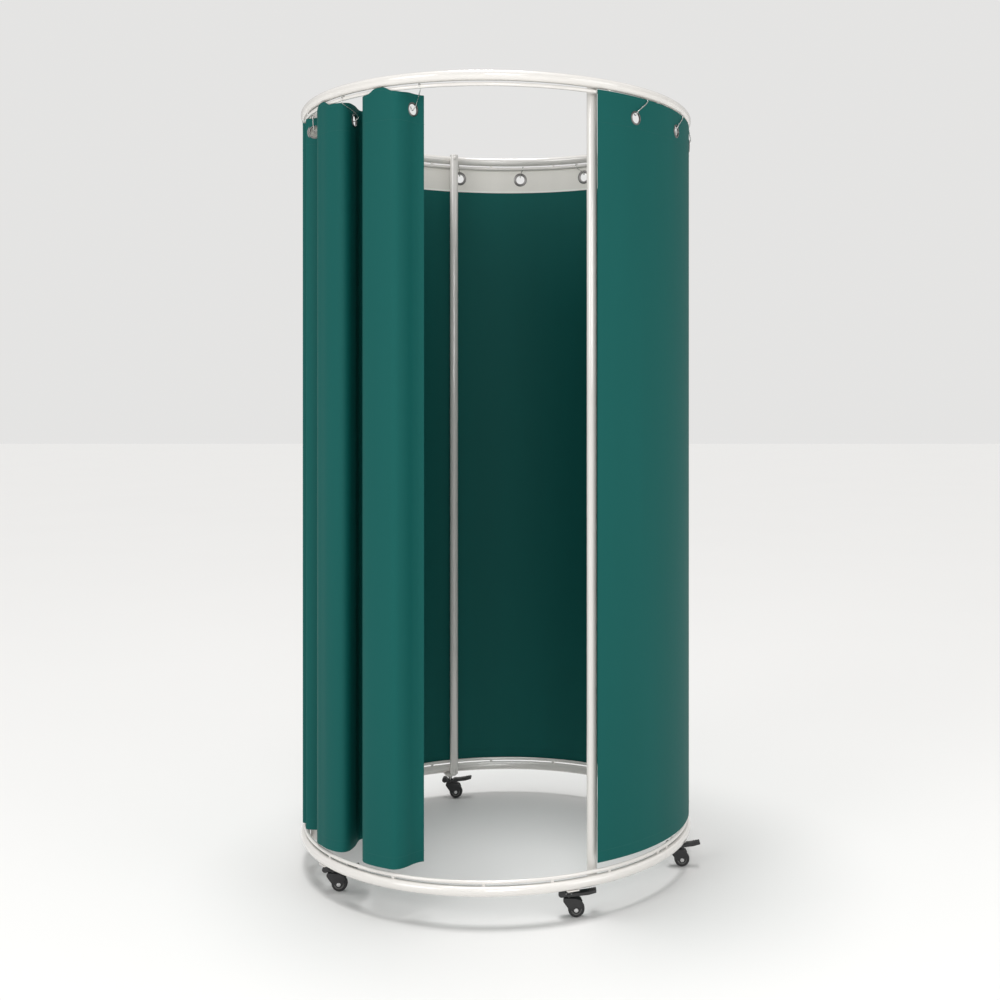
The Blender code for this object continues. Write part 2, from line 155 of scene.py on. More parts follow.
# %% [markdown]
# ## Writing materials as sums
# A material's maths reads best as a sum. `Value` wraps a socket and overloads the operators,
# so `1 - dirt * 0.3` adds its own Math nodes. `Finish` holds one material and has one method
# for every other node. Colours go through Mix nodes, because a Math node would turn them grey.

# %% Value and Finish
class Value:
    """A number in a material, with arithmetic that adds Math nodes."""

    def __init__(self, finish, socket):
        self.finish = finish
        self.socket = socket

    def _sum(self, operation, first, second=0.0):
        node = self.finish.node("ShaderNodeMath", {"operation": operation}, {0: first, 1: second})
        return Value(self.finish, node.outputs[0])

    def __add__(self, other):
        return self._sum("ADD", self, other)

    def __radd__(self, other):
        return self._sum("ADD", other, self)

    def __sub__(self, other):
        return self._sum("SUBTRACT", self, other)

    def __rsub__(self, other):
        return self._sum("SUBTRACT", other, self)

    def __mul__(self, other):
        return self._sum("MULTIPLY", self, other)

    def __rmul__(self, other):
        return self._sum("MULTIPLY", other, self)

    def sine(self):
        return self._sum("SINE", self)

    def clamp(self):
        node = self.finish.node("ShaderNodeClamp", {}, {"Value": self})
        return Value(self.finish, node.outputs[0])


class Finish:
    """One material: a Principled shader with its fixed numbers set on the shader itself."""

    def __init__(self, name, color, roughness, metallic=0.0, **fixed):
        self.material = bpy.data.materials.new(name)
        self.material.use_nodes = True
        self.material.diffuse_color = (*color, 1.0)
        self.tree = self.material.node_tree
        self.shader = self.tree.nodes["Principled BSDF"]
        self.color = color
        self.shader.inputs["Base Color"].default_value = (*color, 1.0)
        self.shader.inputs["Roughness"].default_value = roughness
        self.shader.inputs["Metallic"].default_value = metallic
        for label, number in fixed.items():
            socket = label.replace("_", " ").title().replace("Ior", "IOR")
            self.shader.inputs[socket].default_value = number

    def feed(self, socket, value):
        if isinstance(value, Value):
            self.tree.links.new(value.socket, socket)
        elif isinstance(value, bpy.types.NodeSocket):
            self.tree.links.new(value, socket)
        else:
            socket.default_value = value

    def node(self, kind, settings, inputs):
        made = self.tree.nodes.new(kind)
        for setting, value in settings.items():
            setattr(made, setting, value)
        for socket, value in inputs.items():
            self.feed(made.inputs[socket], value)
        return made

    def place(self, output="Object"):
        return self.node("ShaderNodeTexCoord", {}, {}).outputs[output]

    def stretched(self, coordinates, scale):
        return self.node("ShaderNodeMapping", {}, {"Vector": coordinates, "Scale": scale}).outputs[0]

    def noise(self, coordinates, scale, detail):
        made = self.node("ShaderNodeTexNoise", {}, {"Vector": coordinates, "Scale": scale,
                                                    "Detail": detail})
        return Value(self, made.outputs[0])

    def tint(self, amount, dark, light):
        """Base colour between two shades of the finish's own colour."""
        low = tuple(c * dark for c in self.color) + (1.0,)
        high = tuple(min(c * light, 1.0) for c in self.color) + (1.0,)
        mix = self.node("ShaderNodeMix", {"data_type": "RGBA"}, {0: amount, 6: low, 7: high})
        self.feed(self.shader.inputs["Base Color"], mix.outputs[2])

    def rough(self, value):
        self.feed(self.shader.inputs["Roughness"], value)

    def bump(self, height, strength, distance):
        sockets = {"Height": height, "Strength": strength, "Distance": distance}
        made = self.node("ShaderNodeBump", {}, sockets)
        self.feed(self.shader.inputs["Normal"], made.outputs[0])


print("Value and Finish are ready")

# %% [markdown]
# ## Powder coat
# Sprayed powder melts into a slightly rippled, glossy skin called orange peel. The ripple is
# a small fine noise in the bump, and a large soft noise changes the gloss as handling does.

# %% Powder coat
powder = Finish("powder_coat", (0.77, 0.745, 0.71), 0.34,
                coat_weight=0.9, coat_roughness=0.07, coat_ior=1.75)
spot = powder.place()
handled = powder.noise(spot, 7.0, 3.0)
powder.tint(handled, 0.95, 1.03)
powder.rough(handled * 0.16 + 0.26)
powder.bump(powder.noise(spot, 420.0, 1.0), 0.10, 0.0004)
POWDER = powder.material
print(POWDER.name)

# %% [markdown]
# ## Curtain cloth
# Welding curtains are polyester cloth with a coat of coloured vinyl. The threads show through
# the coat as a fine plain weave. Two crossed sine waves on the cloth's own UV map, which is in
# metres, give that weave, so it follows every fold. Long soft streaks along the drop are the
# slight unevenness of the dye. The coat is matt, so it hardly mirrors and the colour stays deep.

# %% Curtain cloth
THREAD = 0.0012
DYE_STREAKS = (9.0, 0.7, 1.0)


def woven(name, color, roughness, thread, depth, **fixed):
    cloth = Finish(name, color, roughness, **fixed)
    weave_map = cloth.place("UV")
    split = cloth.node("ShaderNodeSeparateXYZ", {}, {"Vector": weave_map})
    turns = math.tau / thread
    across = (Value(cloth, split.outputs[0]) * turns).sine()
    down = (Value(cloth, split.outputs[1]) * turns).sine()
    weave = across * down
    dye = cloth.noise(cloth.stretched(weave_map, DYE_STREAKS), 1.0, 3.0)
    fleck = cloth.noise(weave_map, 260.0, 1.0)
    cloth.tint((dye * 0.75 + fleck * 0.25 + weave * 0.06).clamp(), 0.90, 1.10)
    cloth.rough(roughness - 0.06 + fleck * 0.12)
    cloth.bump(weave * 0.5 + fleck * 0.5, 0.25, depth)
    return cloth.material


CLOTH = woven("curtain_cloth", (0.0036, 0.0980, 0.0880), 0.62, THREAD, 0.00012,
              specular_ior_level=0.16)
TAPE = woven("header_tape", (0.82, 0.80, 0.75), 0.8, 0.0016, 0.00015)
BINDING = woven("tape_binding", (0.93, 0.91, 0.86), 0.75, 0.0010, 0.00012)
THREAD_GREEN = Finish("green_thread", (0.020, 0.135, 0.115), 0.7).material
print(CLOTH.name, TAPE.name)

# %% [markdown]
# ## Metal, nylon and rubber
# Eyelets are dark nickel plate and hooks are bright zinc wire. The casters are moulded black
# nylon with a rubber tyre. Each gets a fine noise in its roughness, so highlights break up.

# %% Metal, nylon and rubber
def plated(name, color, roughness):
    metal = Finish(name, color, roughness, 1.0)
    worn = metal.noise(metal.place(), 160.0, 3.0)
    metal.tint(worn, 0.88, 1.06)
    metal.rough(worn * 0.18 + (roughness - 0.09))
    metal.bump(worn, 0.08, 0.0002)
    return metal.material


def moulded(name, color, roughness, grain):
    plastic = Finish(name, color, roughness)
    skin = plastic.noise(plastic.place(), grain, 2.0)
    plastic.tint(skin, 0.75, 1.3)
    plastic.rough(skin * 0.2 + (roughness - 0.1))
    plastic.bump(skin, 0.15, 0.0002)
    return plastic.material


NICKEL = plated("dark_nickel", (0.20, 0.195, 0.19), 0.32)
WIRE = plated("zinc_wire", (0.72, 0.72, 0.70), 0.25)
ZINC = plated("zinc_plate", (0.60, 0.60, 0.58), 0.38)
AXLE = plated("axle_steel", (0.58, 0.58, 0.58), 0.28)
NYLON = moulded("black_nylon", (0.016, 0.016, 0.017), 0.48, 900.0)
PEDAL_NYLON = moulded("pedal_nylon", (0.020, 0.020, 0.021), 0.42, 900.0)
HUB = moulded("grey_hub", (0.13, 0.13, 0.125), 0.5, 700.0)
RUBBER = moulded("black_rubber", (0.022, 0.022, 0.023), 0.72, 500.0)
print("metals and plastics", *(m.name for m in (NICKEL, WIRE, ZINC, AXLE, NYLON, HUB, RUBBER)))

# %% [markdown]
# ## Floor
# One wide pale sheet just under the wheels shows the booth's shadow and runs out of sight, as
# a bare workshop floor would.

# %% Floor
FLOOR_REACH = 40.0
pale = Finish("pale_floor", (0.78, 0.775, 0.765), 0.55)
pale.tint(pale.noise(pale.place(), 0.8, 2.0), 0.99, 1.01)
corners = [(x * FLOOR_REACH, y * FLOOR_REACH, 0.0) for x, y in ((-1, -1), (1, -1), (1, 1), (-1, 1))]
floor_mesh = bpy.data.meshes.new("floor")
floor_mesh.from_pydata(corners, [], [(0, 1, 2, 3)])
floor = bpy.data.objects.new("floor", floor_mesh)
floor.location.z = -0.0005
floor_mesh.materials.append(pale.material)
scene.collection.objects.link(floor)
print("floor laid")

# %% [markdown]
# ## Growing pieces with Geometry Nodes
# Bent tubes, wires, stitches and everything set round the rings follow simple rules, so a
# node tree makes them. `Grower` builds a tree with named inputs, ends it in Realize Instances
# and Set Material, and `grown` turns the result into a plain mesh.

# %% Grower
KINDS = {"length": "NodeSocketFloat", "count": "NodeSocketInt", "object": "NodeSocketObject",
         "finish": "NodeSocketMaterial"}


class Grower:
    """A Geometry Nodes tree with named inputs."""

    def __init__(self, name, inputs):
        self.tree = bpy.data.node_groups.new(name, "GeometryNodeTree")
        self.tree.interface.new_socket("Geometry", in_out="INPUT", socket_type="NodeSocketGeometry")
        for label, kind in inputs.items():
            self.tree.interface.new_socket(label, in_out="INPUT", socket_type=KINDS[kind])
        self.tree.interface.new_socket("Geometry", in_out="OUTPUT", socket_type="NodeSocketGeometry")
        self.given = self.tree.nodes.new("NodeGroupInput").outputs
        self.result = self.tree.nodes.new("NodeGroupOutput")

    def node(self, kind, settings, inputs):
        made = self.tree.nodes.new(kind)
        for setting, value in settings.items():
            setattr(made, setting, value)
        for socket, value in inputs.items():
            if isinstance(value, bpy.types.NodeSocket):
                self.tree.links.new(value, made.inputs[socket])
            else:
                made.inputs[socket].default_value = value
        return made.outputs

    def swept(self, line, radius):
        """A round bar along a line, with closed ends."""
        section = self.node("GeometryNodeCurvePrimitiveCircle", {}, {
            "Resolution": self.given["Sides"], "Radius": self.given[radius]})[0]
        return self.node("GeometryNodeCurveToMesh", {}, {
            "Curve": line, "Profile Curve": section, "Fill Caps": True})[0]

    def finish(self, geometry):
        shaded = self.node("GeometryNodeSetShadeSmooth", {}, {
            "Geometry": geometry, "Shade Smooth": True})[0]
        real = self.node("GeometryNodeRealizeInstances", {}, {"Geometry": shaded})[0]
        painted = self.node("GeometryNodeSetMaterial", {}, {
            "Geometry": real, "Material": self.given["Finish"]})[0]
        self.tree.links.new(painted, self.result.inputs[0])


print("Grower takes inputs of", *KINDS)

# %% Start a tree from a mesh
def grown(name, grower, mesh, values):
    """A plain mesh object made by the tree from a starting mesh."""
    obj = bpy.data.objects.new(name, mesh)
    scene.collection.objects.link(obj)
    modifier = obj.modifiers.new("grow", "NODES")
    modifier.node_group = grower.tree
    for item in grower.tree.interface.items_tree:
        if item.in_out == "INPUT" and item.name in values:
            modifier[item.identifier] = values[item.name]
    bpy.context.view_layer.update()
    graph = bpy.context.evaluated_depsgraph_get()
    result = bpy.data.meshes.new_from_object(obj.evaluated_get(graph))
    result.name = name
    obj.modifiers.clear()
    obj.data = result
    return obj


def seats(name, spots):
    """A mesh of loose points, each with the turn about Z that its piece is set at."""
    mesh = bpy.data.meshes.new(name + "_seats")
    mesh.from_pydata([tuple(place) for place, _ in spots], [], [])
    turn = mesh.attributes.new("turn", "FLOAT", "POINT")
    turn.data.foreach_set("value", [math.radians(t) for _, t in spots])
    return mesh


def runs(name, paths, cyclic=False):
    """A mesh of edges along one or more paths."""
    points = []
    edges = []
    for path in paths:
        first = len(points)
        points += [tuple(p) for p in path]
        edges += [(first + i, first + i + 1) for i in range(len(path) - 1)]
        if cyclic:
            edges.append((len(points) - 1, first))
    mesh = bpy.data.meshes.new(name + "_runs")
    mesh.from_pydata(points, edges, [])
    return mesh


print("grown, seats and runs are ready")

# %% Trees for tubes and wires
bent = Grower("bent_tube", {
    "Ring Radius": "length", "Tube Radius": "length", "Height": "length", "Start": "length",
    "Sweep": "length", "Bends": "count", "Sides": "count", "Finish": "finish"})
arc = bent.node("GeometryNodeCurveArc", {"mode": "RADIUS"}, {
    "Resolution": bent.given["Bends"], "Radius": bent.given["Ring Radius"],
    "Start Angle": bent.given["Start"], "Sweep Angle": bent.given["Sweep"]})[0]
lift = bent.node("ShaderNodeCombineXYZ", {}, {"Z": bent.given["Height"]})[0]
raised = bent.node("GeometryNodeTransform", {}, {"Geometry": arc, "Translation": lift})[0]
bent.finish(bent.swept(raised, "Tube Radius"))

wire = Grower("wire_along", {"Wire Radius": "length", "Sides": "count", "Finish": "finish"})
wire_line = wire.node("GeometryNodeMeshToCurve", {}, {"Mesh": wire.given["Geometry"]})[0]
wire.finish(wire.swept(wire_line, "Wire Radius"))
print("trees", bent.tree.name, wire.tree.name)

# %% Trees for repeated pieces and stitches
setter = Grower("set_round", {"Piece": "object", "Finish": "finish"})
piece_info = setter.node("GeometryNodeObjectInfo", {"transform_space": "ORIGINAL"}, {
    "Object": setter.given["Piece"]})
turned_by = setter.node("GeometryNodeInputNamedAttribute", {"data_type": "FLOAT"}, {"Name": "turn"})[0]
about_z = setter.node("ShaderNodeCombineXYZ", {}, {"Z": turned_by})[0]
as_turn = setter.node("FunctionNodeEulerToRotation", {}, {"Euler": about_z})[0]
setter.finish(setter.node("GeometryNodeInstanceOnPoints", {}, {
    "Points": setter.given["Geometry"], "Instance": piece_info["Geometry"], "Rotation": as_turn})[0])

sewer = Grower("stitch_along", {
    "Pitch": "length", "Stitch": "length", "Thread": "length", "Finish": "finish"})
seam = sewer.node("GeometryNodeMeshToCurve", {}, {"Mesh": sewer.given["Geometry"]})[0]
marks = sewer.node("GeometryNodeResampleCurve", {"mode": "LENGTH"}, {
    "Curve": seam, "Length": sewer.given["Pitch"]})[0]
stitch_shape = sewer.node("GeometryNodeMeshIcoSphere", {}, {"Radius": 1.0, "Subdivisions": 1})[0]
stitch_size = sewer.node("ShaderNodeCombineXYZ", {}, {
    "X": sewer.given["Stitch"], "Y": sewer.given["Thread"], "Z": sewer.given["Thread"]})[0]
along_seam = sewer.node("GeometryNodeInputTangent", {}, {})[0]
laid = sewer.node("FunctionNodeAlignRotationToVector", {"axis": "X"}, {"Vector": along_seam})[0]
sewer.finish(sewer.node("GeometryNodeInstanceOnPoints", {}, {
    "Points": marks, "Instance": stitch_shape, "Rotation": laid, "Scale": stitch_size})[0])
print("trees", setter.tree.name, sewer.tree.name)

# %% [markdown]
# ## Rings and rails
# Each ring is two half circles of 25 mm tube butted end to end, with a 9 mm rod beside it.
# The rod under the top ring is the rail the hooks hang on. A node tree bends both, since each
# is just a circle swept along an arc.

# %% Rings and rails
HALVES = {"back": (57.0, 237.0), "front": (237.0, 417.0)}
BUTT = math.degrees(0.00015 / RING)
BENDS = 121


def half_ring(name, radius, z, start, end, sides):
    """Half a circle of tube or rod, held a hair short of the other half at each end."""
    values = {"Ring Radius": RING, "Tube Radius": radius, "Height": z, "Bends": BENDS, "Sides": sides,
              "Start": math.radians(start + BUTT - 90.0),
              "Sweep": math.radians(end - start - 2.0 * BUTT), "Finish": POWDER}
    return grown(name, bent, bpy.data.meshes.new(name), values)


tubes = 0
for level, z, side in (("top", TOP_Z, -1.0), ("bottom", BOTTOM_Z, 1.0)):
    for half, (start, end) in HALVES.items():
        tube = half_ring(f"{level}_tube_{half}", TUBE, z, start, end, 28)
        rail = half_ring(f"{level}_rail_{half}", RAIL, z + side * RAIL_DROP, start, end, 14)
        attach(tube, "frame")
        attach(rail, "frame")
        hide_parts(f"{level}_ring_{half}")
        tubes += 2
print("bent tubes and rails", tubes)

# %% [markdown]
# ## Shaping solids
# Small hard pieces start as a profile turned about an axis or pushed out sideways, then get
# a bevel so that their edges catch the light. These helpers hold those two moves.

# %% Meshes from profiles and outlines
MERGE = 1e-6


def mesh_of(name, points, faces):
    mesh = bpy.data.meshes.new(name)
    mesh.from_pydata([tuple(p) for p in points], [], faces)
    solid = bmesh.new()
    solid.from_mesh(mesh)
    bmesh.ops.remove_doubles(solid, verts=solid.verts, dist=MERGE)
    bmesh.ops.recalc_face_normals(solid, faces=solid.faces)
    solid.to_mesh(mesh)
    solid.free()
    return mesh


def turned(name, profile, sides, closed_loop=False):
    """A profile of (radius, height) points turned about Z. A loop makes a ring, else it is capped."""
    points = []
    for r, h in profile:
        points += [(r * math.cos(math.tau * i / sides), r * math.sin(math.tau * i / sides), h)
                   for i in range(sides)]
    faces = []
    rows = len(profile)
    for row in range(rows if closed_loop else rows - 1):
        a = row * sides
        b = ((row + 1) % rows) * sides
        faces += [(a + i, a + (i + 1) % sides, b + (i + 1) % sides, b + i) for i in range(sides)]
    if not closed_loop:
        top = (rows - 1) * sides
        faces += [tuple(range(sides)), tuple(range(top, top + sides))]
    return mesh_of(name, points, faces)


def pushed(name, profile, half_width):
    """An (x, z) outline pushed out along Y to both sides."""
    n = len(profile)
    points = [(x, y, z) for y in (-half_width, half_width) for x, z in profile]
    faces = [(i, (i + 1) % n, n + (i + 1) % n, n + i) for i in range(n)]
    faces += [tuple(range(n)), tuple(range(n, 2 * n))]
    return mesh_of(name, points, faces)


def block(name, xs, ys, zs):
    """A plain box between two values on each axis."""
    faces = [(0, 1, 3, 2), (4, 5, 7, 6), (0, 1, 5, 4), (2, 3, 7, 6), (0, 2, 6, 4), (1, 3, 7, 5)]
    return mesh_of(name, [(x, y, z) for z in zs for y in ys for x in xs], faces)


def mirrored(half):
    """A profile of (radius, height) points followed by the same points mirrored in height."""
    return half + [(r, -h) for r, h in reversed(half) if h]


print("turned, pushed and block are ready")

# %% Cuts, rounded edges and copies
def finished(name, mesh, finish, bevel=0.0, segments=2, cuts=(), angle=32.0):
    """A piece with its cuts made and its edges rounded, as one plain mesh at the origin."""
    obj = bpy.data.objects.new(name, mesh)
    scene.collection.objects.link(obj)
    cutters = []
    for cut in cuts:
        cutter = bpy.data.objects.new(name + "_cut", cut)
        scene.collection.objects.link(cutter)
        cutters.append(cutter)
        boolean = obj.modifiers.new("cut", "BOOLEAN")
        boolean.operation = "DIFFERENCE"
        boolean.solver = "EXACT"
        boolean.object = cutter
    if bevel:
        rounding = obj.modifiers.new("round", "BEVEL")
        rounding.width = bevel
        rounding.segments = segments
        rounding.limit_method = "ANGLE"
        rounding.angle_limit = math.radians(angle)
    bpy.context.view_layer.update()
    graph = bpy.context.evaluated_depsgraph_get()
    result = bpy.data.meshes.new_from_object(obj.evaluated_get(graph))
    obj.modifiers.clear()
    obj.data = result
    result.name = name
    result.materials.clear()
    result.materials.append(finish)
    result.shade_smooth()
    result.set_sharp_from_angle(angle=math.radians(angle))
    for cutter in cutters:
        bpy.data.objects.remove(cutter, do_unlink=True)
    return obj


def across(mesh):
    """Lays a piece made about Z along Y, its top toward -Y."""
    mesh.transform(Matrix.Rotation(math.radians(90.0), 4, "X"))
    return mesh


def copies(name, source, spots, finish):
    """The same piece set at many seats, as one mesh."""
    obj = grown(name, setter, seats(name, spots), {"Piece": source, "Finish": finish})
    obj.data.set_sharp_from_angle(angle=math.radians(32.0))
    return obj


def put_away(obj):
    """Removes a piece that was only there to be copied."""
    bpy.data.objects.remove(obj, do_unlink=True)


print("shaping helpers ready")

# %% [markdown]
# ## Braces
# Short straps are welded between each ring and its rail. At the top they stay clear of the
# stretch where the doorway hooks slide. One strap is shaped once, and a tree sets it at every angle.

# %% Braces
BACK_BRACES = (59.5, 79.0, 100.0, 121.0, 142.0, 164.0, 186.0, 207.0, 228.0, 234.5)
FRONT_BRACES = (242.5, 250.0, 271.0, 284.5, 395.0, 414.5)
DOORWAY_BRACES = (310.0, 335.0, 360.0, 378.0)
BRACE_DROP = 0.0143
strap_outline = ((-0.004, -0.0052), (0.004, -0.0052), (0.004, 0.0052), (-0.004, 0.0052))
strap = finished("strap", pushed("strap", strap_outline, 0.002), POWDER, 0.0008)
clear_of_hooks = BACK_BRACES + FRONT_BRACES
top_spots = [(polar(RING, t, TOP_Z - BRACE_DROP), t) for t in clear_of_hooks]
low_spots = [(polar(RING, t, BOTTOM_Z + BRACE_DROP), t) for t in clear_of_hooks + DOORWAY_BRACES]
for name, spots in (("top_braces", top_spots), ("bottom_braces", low_spots)):
    braces = copies(name, strap, spots, POWDER)
    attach(braces, "frame")
put_away(strap)
print("braces", len(top_spots) + len(low_spots))

# %% [markdown]
# ## Posts and bolts
# Four straight tubes stand inside the rings and are bolted to them at both ends. The ends are
# closed with low domed plugs. A button head bolt with a hex socket is turned and cut once.

# %% Posts and bolts
POSTS = {"front_right": 31.2, "back_right": 115.4, "back_left": 199.8, "front_left": 284.5}
POST_CIRCLE = RING - 2.0 * TUBE - 0.001
FLAT_OF_POST = 0.01226
PLUG = ((0.0, 0.0), (0.006, 0.0), (0.0112, 0.0004), (0.0122, 0.0012), (TUBE, 0.0026))
post_profile = [(r, POST_BOTTOM + h) for r, h in PLUG] + [(r, POST_TOP - h) for r, h in reversed(PLUG)]
socket_cut = across(turned("socket", ((0.0019, -0.001), (0.0019, 0.006)), 6))
socket_cut.transform(Matrix.Translation((0.0, -0.0015, 0.0)))
button_profile = ((0.003, -0.009), (0.003, 0.0003), (0.0055, 0.0003), (0.0056, 0.0009), (0.0050, 0.0020),
                  (0.0037, 0.0029), (0.0020, 0.0034), (0.0001, 0.0035))
button = across(turned("button", button_profile, 28))
button.transform(Matrix.Rotation(math.pi, 4, "Z"))
socket_cut.transform(Matrix.Rotation(math.pi, 4, "Z"))
button_bolt = finished("button_bolt", button, POWDER, cuts=[socket_cut], angle=40.0)
for label, t in POSTS.items():
    mesh = turned("post", post_profile, 40)
    mesh.transform(Matrix.Translation(polar(POST_CIRCLE, t)))
    post = finished(f"post_tube_{label}", mesh, POWDER, angle=50.0)
    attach(post, "frame")
    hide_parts(f"post_{label}")
bolt_spots = [(polar(POST_CIRCLE - FLAT_OF_POST, t, z), t)
              for t in POSTS.values() for z in (BOTTOM_Z, TOP_Z)]
bolts = copies("post_bolts", button_bolt, bolt_spots, POWDER)
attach(bolts, "frame")
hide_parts(*[f"post_bolt_{label}_{end}" for label in POSTS for end in ("bottom", "top")])
put_away(button_bolt)
print("posts", len(POSTS), "bolts", len(bolt_spots))

# %% [markdown]
# ## Where the cloth runs
# Seen from above, the taut curtain is an arc just outside the rail. The doorway curtain is a
# chain of deep folds: out to the ring, in toward the middle, and out again. Its plan is a list
# of angles and radii, and a smooth curve runs through them. The curve is resampled in even
# steps, so cloth is neither bunched nor stretched along it.

# %% Plans of the cloth
FOLD_PLAN = ((-77.45, 1.0035), (-76.0, 1.0035), (-74.6, 1.0035), (-73.9, 0.985), (-73.3, 0.93),
             (-72.6, 0.85), (-71.5, 0.82), (-70.6, 0.88), (-70.0, 0.97), (-69.3, 0.998), (-68.3, 0.99),
             (-67.1, 0.961), (-65.0, 0.89), (-63.0, 0.84), (-60.5, 0.90), (-58.0, 0.985), (-56.0, 1.0035),
             (-53.5, 1.0035), (-50.5, 1.0035), (-47.8, 0.996), (-45.6, 0.982), (-44.7, 0.963),
             (-44.69, 0.938), (-45.4, 0.915), (-46.33, 0.893), (-47.3, 0.874), (-49.34, 0.845),
             (-51.02, 0.817), (-50.65, 0.792), (-46.5, 0.79), (-42.6, 0.835), (-39.4, 0.905),
             (-36.8, 0.965), (-35.0, 0.992), (-33.0, 1.001), (-30.0, 1.0035), (-27.0, 1.0035),
             (-25.0, 1.0025), (-23.8, 0.992), (-22.9, 0.969), (-22.3, 0.942), (-21.8, 0.907),
             (-20.9, 0.874), (-19.8, 0.855))
HOOK_POINTS = {"c": 11, "b": 24, "a": 41}
FOLD_SHIFT = 0.010
SPLINE_STEPS = 8
STEP = 0.004


def smooth_path(points, pieces):
    """A smooth curve through the points, each span cut into even shares."""
    ends = [points[0] * 2.0 - points[1]] + list(points) + [points[-1] * 2.0 - points[-2]]
    path = []
    for i in range(1, len(ends) - 2):
        p0, p1, p2, p3 = ends[i - 1:i + 3]
        for j in range(pieces):
            t = j / pieces
            bend = 2.0 * p0 - 5.0 * p1 + 4.0 * p2 - p3
            twist = 3.0 * p1 - p0 - 3.0 * p2 + p3
            path.append(0.5 * ((2.0 * p1) + (p2 - p0) * t + bend * t * t + twist * t * t * t))
    path.append(points[-1].copy())
    return path


def even_path(path, spacing):
    """The same curve in (x, y) steps of even length."""
    lengths = np.concatenate([[0.0], np.cumsum([(b - a).length for a, b in zip(path, path[1:])])])
    count = max(2, round(lengths[-1] / spacing))
    want = np.linspace(0.0, lengths[-1], count + 1)
    flat = np.array([(p.x, p.y) for p in path])
    return np.stack([np.interp(want, lengths, flat[:, axis]) for axis in (0, 1)], axis=1)


plan = smooth_path([polar((share + FOLD_SHIFT) * RING, t) for t, share in FOLD_PLAN], SPLINE_STEPS)
stops = [0] + [HOOK_POINTS[k] * SPLINE_STEPS for k in "cba"] + [len(plan) - 1]
door_paths = [even_path(plan[a:b + 1], STEP) for a, b in zip(stops, stops[1:])]
fixed_angles = np.linspace(30.7, 282.5, 378)
fixed_path = np.array([polar(CLOTH_R, t)[:2] for t in fixed_angles])


def column_gaps(path):
    return np.linalg.norm(np.diff(path, axis=0), axis=1)


def run_length(path):
    return float(column_gaps(path).sum())


def distance_along(path):
    """How much cloth lies between the first column and each column."""
    return np.concatenate([[0.0], np.cumsum(column_gaps(path))])


print("doorway cloth", [round(run_length(p), 3) for p in door_paths])
print("taut cloth", round(run_length(fixed_path), 3))

# %% [markdown]
# ## Weaving a sheet
# A sheet is a grid: columns along its plan, rows down its drop. Each column is pushed a little
# along its own normal to give the two faces of real cloth. The UV map is in metres of cloth,
# so the weave keeps its size. Cloth never hangs quite level, so each column may lift or drop
# its hem and its head by a few millimetres. Round plugs then cut the holes for the eyelets.

# %% Sheet maker
CLOTH_HALF = 0.0004
HEM_MOVES_BELOW = 1.2
HEAD_MOVES_ABOVE = 1.9
HEAD_MOVES_OVER = 0.06


def normals_of(path, ends=None):
    """Unit vectors pointing out of the booth side of each column."""
    along = np.gradient(path, axis=0)
    if ends is not None:
        along[0], along[-1] = ends
    along /= np.linalg.norm(along, axis=1)[:, None]
    return np.stack([along[:, 1], -along[:, 0]], axis=1)


def hung(z, hang):
    """The height of every column at level z, once its hem and its head have been moved."""
    low, top = hang
    share_of_hem = np.clip(HEM_MOVES_BELOW - z, 0.0, 1.0)
    share_of_head = np.clip((z - HEAD_MOVES_ABOVE) / HEAD_MOVES_OVER, 0.0, 1.0)
    return z + low * share_of_hem + top * share_of_head


def woven_sheet(name, path, normals, hang, heights, middle, half, finish, holes=(), start_u=0.0):
    """A closed sheet: outer face, inner face and its four edges."""
    columns = len(path)
    rows = len(heights)
    reach = distance_along(path) + start_u
    points = []
    for side in (1.0, -1.0):
        shift = path + normals * (middle + side * half)
        for z in heights:
            points += [(x, y, level) for (x, y), level in zip(shift, hung(z, hang))]
    layer = rows * columns
    faces = []
    for r in range(rows - 1):
        for c in range(columns - 1):
            a = r * columns + c
            b, d, e = a + 1, a + columns, a + columns + 1
            faces += [(a, b, e, d), (layer + a, layer + d, layer + e, layer + b)]
    for a in range(columns - 1):
        b = (rows - 1) * columns + a
        faces += [(a, layer + a, layer + a + 1, a + 1), (b, b + 1, layer + b + 1, layer + b)]
    for r in range(rows - 1):
        a, b = r * columns, (r + 1) * columns - 1
        faces += [(a, a + columns, layer + a + columns, layer + a),
                  (b, layer + b, layer + b + columns, b + columns)]
    mesh = bpy.data.meshes.new(name)
    mesh.from_pydata(points, [], faces)
    corners = np.array(faces).reshape(-1) % layer
    uvs = np.stack([reach[corners % columns], heights[corners // columns]], axis=1)
    mesh.uv_layers.new(name="cloth").data.foreach_set("uv", uvs.astype(np.float32).reshape(-1))
    volume = sum(mesh.vertices[p.vertices[0]].co.dot(p.normal) * p.area for p in mesh.polygons)
    if volume < 0.0:
        mesh.flip_normals()
    return finished(name, mesh, finish, cuts=holes, angle=50.0)


def hole_cutter(spots, radius):
    """One mesh of plugs that cuts all the eyelet holes of a sheet."""
    points = []
    faces = []
    sides = 28
    for place, t in spots:
        turn = Matrix.Rotation(math.radians(t), 4, "Z")
        first = len(points)
        for y in (-0.006, 0.006):
            for i in range(sides):
                a = math.tau * i / sides
                points.append(place + turn @ Vector((radius * math.cos(a), y, radius * math.sin(a))))
        second = first + sides
        faces += [(first + i, first + (i + 1) % sides, second + (i + 1) % sides, second + i)
                  for i in range(sides)]
        faces += [tuple(range(first, second)), tuple(range(second, second + sides))]
    return mesh_of("plugs", points, faces)


print("sheet maker ready, cloth", round(CLOTH_HALF * 2000.0, 2), "mm thick")

